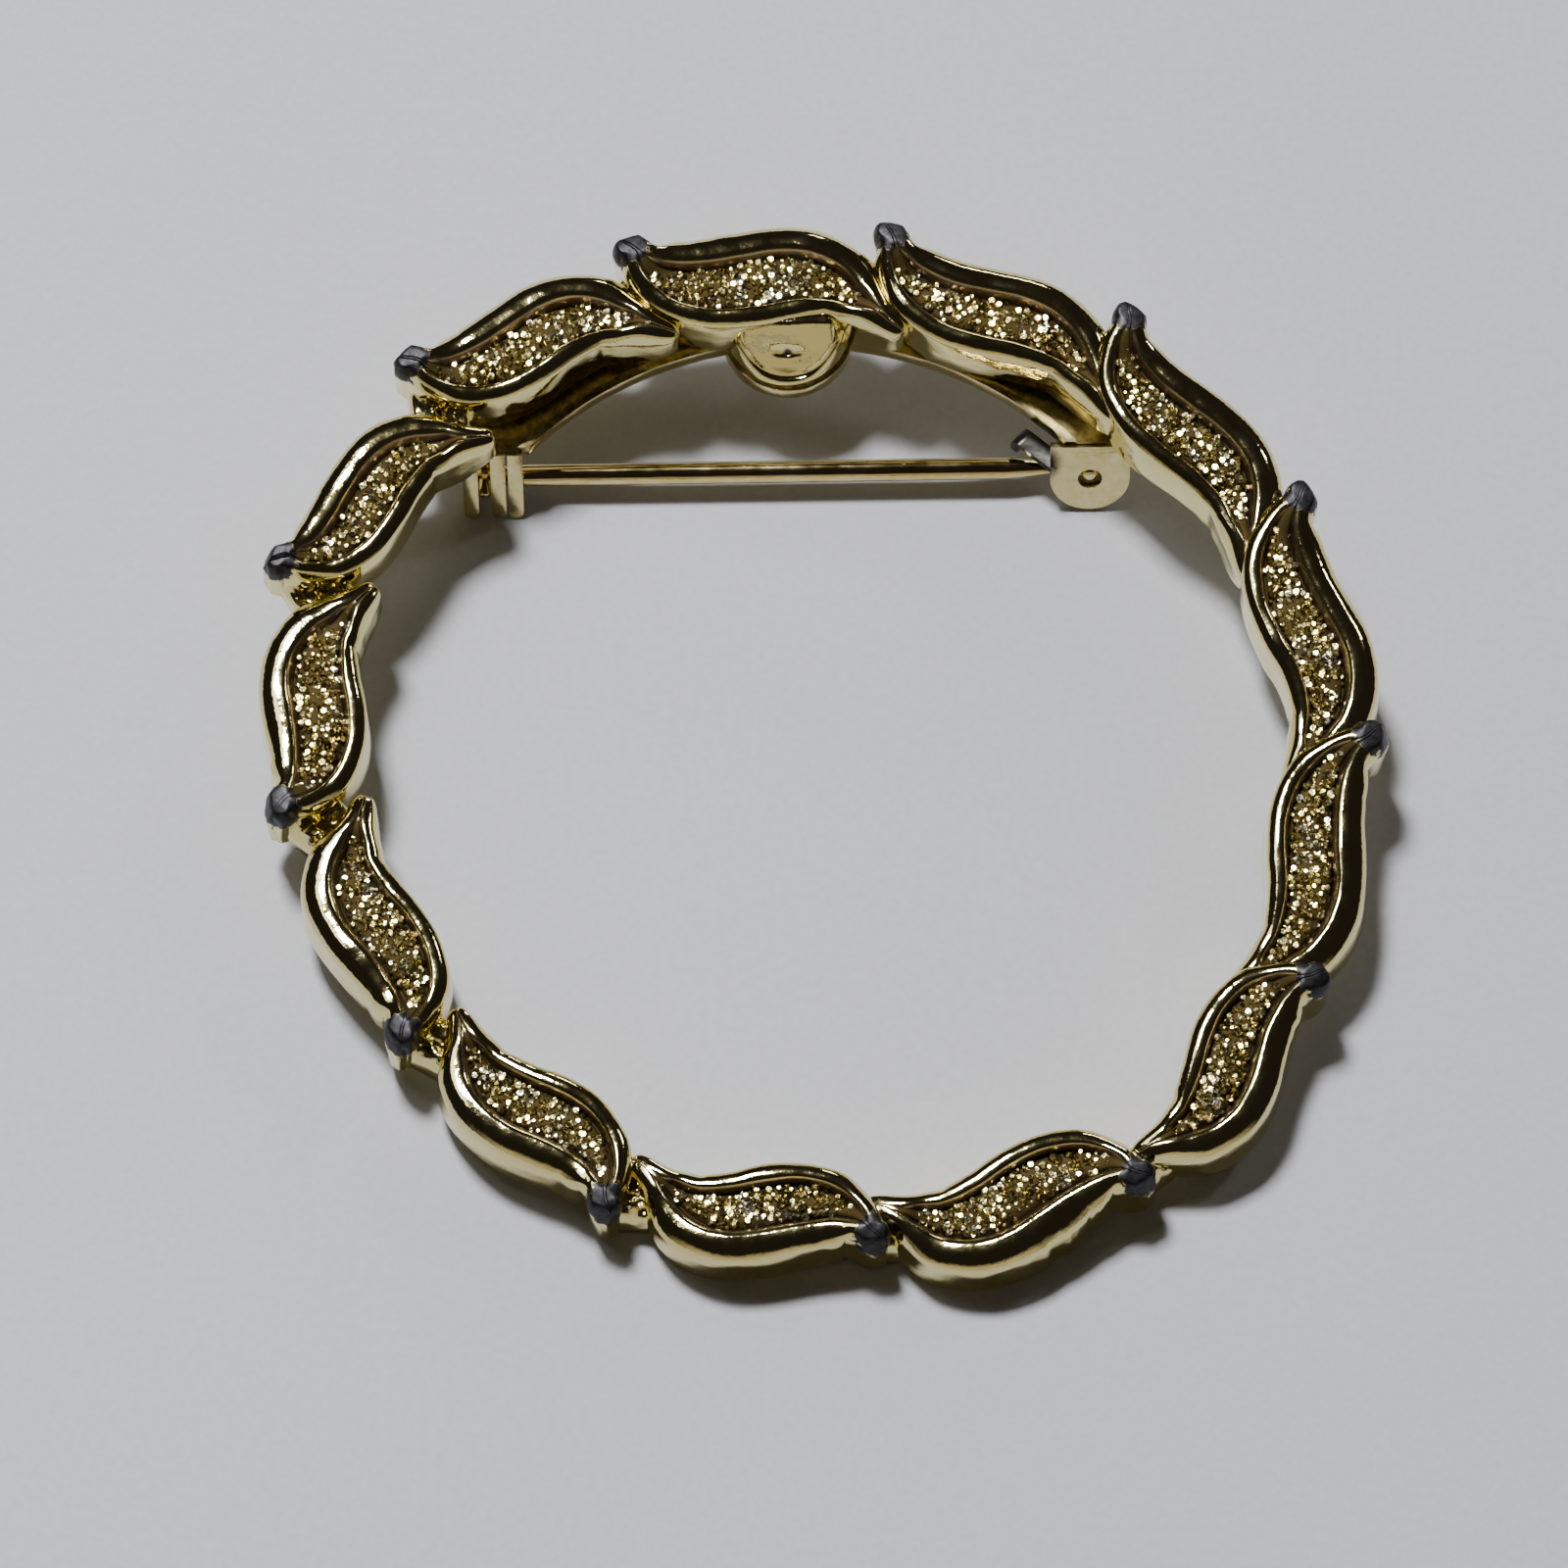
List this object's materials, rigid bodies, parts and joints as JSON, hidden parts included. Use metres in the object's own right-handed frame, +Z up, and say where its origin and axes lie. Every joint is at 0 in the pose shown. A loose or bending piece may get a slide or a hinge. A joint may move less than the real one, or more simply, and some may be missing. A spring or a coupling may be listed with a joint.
{
  "type": "wreath brooch",
  "caption": "Ring-shaped pin brooch: overlapping S-curved leaves with raised rims and blunt tips, a stamped bar across the back, a hinged straight pin and an open catch.",
  "frame": {"origin": "middle of the part's outline on the table it lies on, face up", "axes": "+Z up off the table, +Y towards the side that carries the bar, +X along the pin from its hinge to its point"},
  "size_m": [0.0458, 0.045, 0.0079],
  "materials": {
    "plated_casting": "bright pale gold plating on a soft white-metal casting, worn grey at the leaf tips",
    "plated_sheet": "bright pale gold plating on stamped brass, worn in the hollow",
    "plated_wire": "bright pale gold plating on drawn wire"
  },
  "bodies": {
    "brooch": {"wreath": "plated_casting", "back_bar": "plated_sheet", "hinge_pin": "plated_wire", "catch_stud": "plated_sheet"},
    "stem": {"pin_stem": "plated_wire"}
  },
  "joints": [
    {"name": "stem_hinge", "type": "hinge", "parent": "brooch", "child": "stem", "pos_m": [-0.01404, 0.01361, 0.0011], "axis": [-0.0162, 0.9942, 0.1062], "range_deg": [0, 100]}
  ]
}
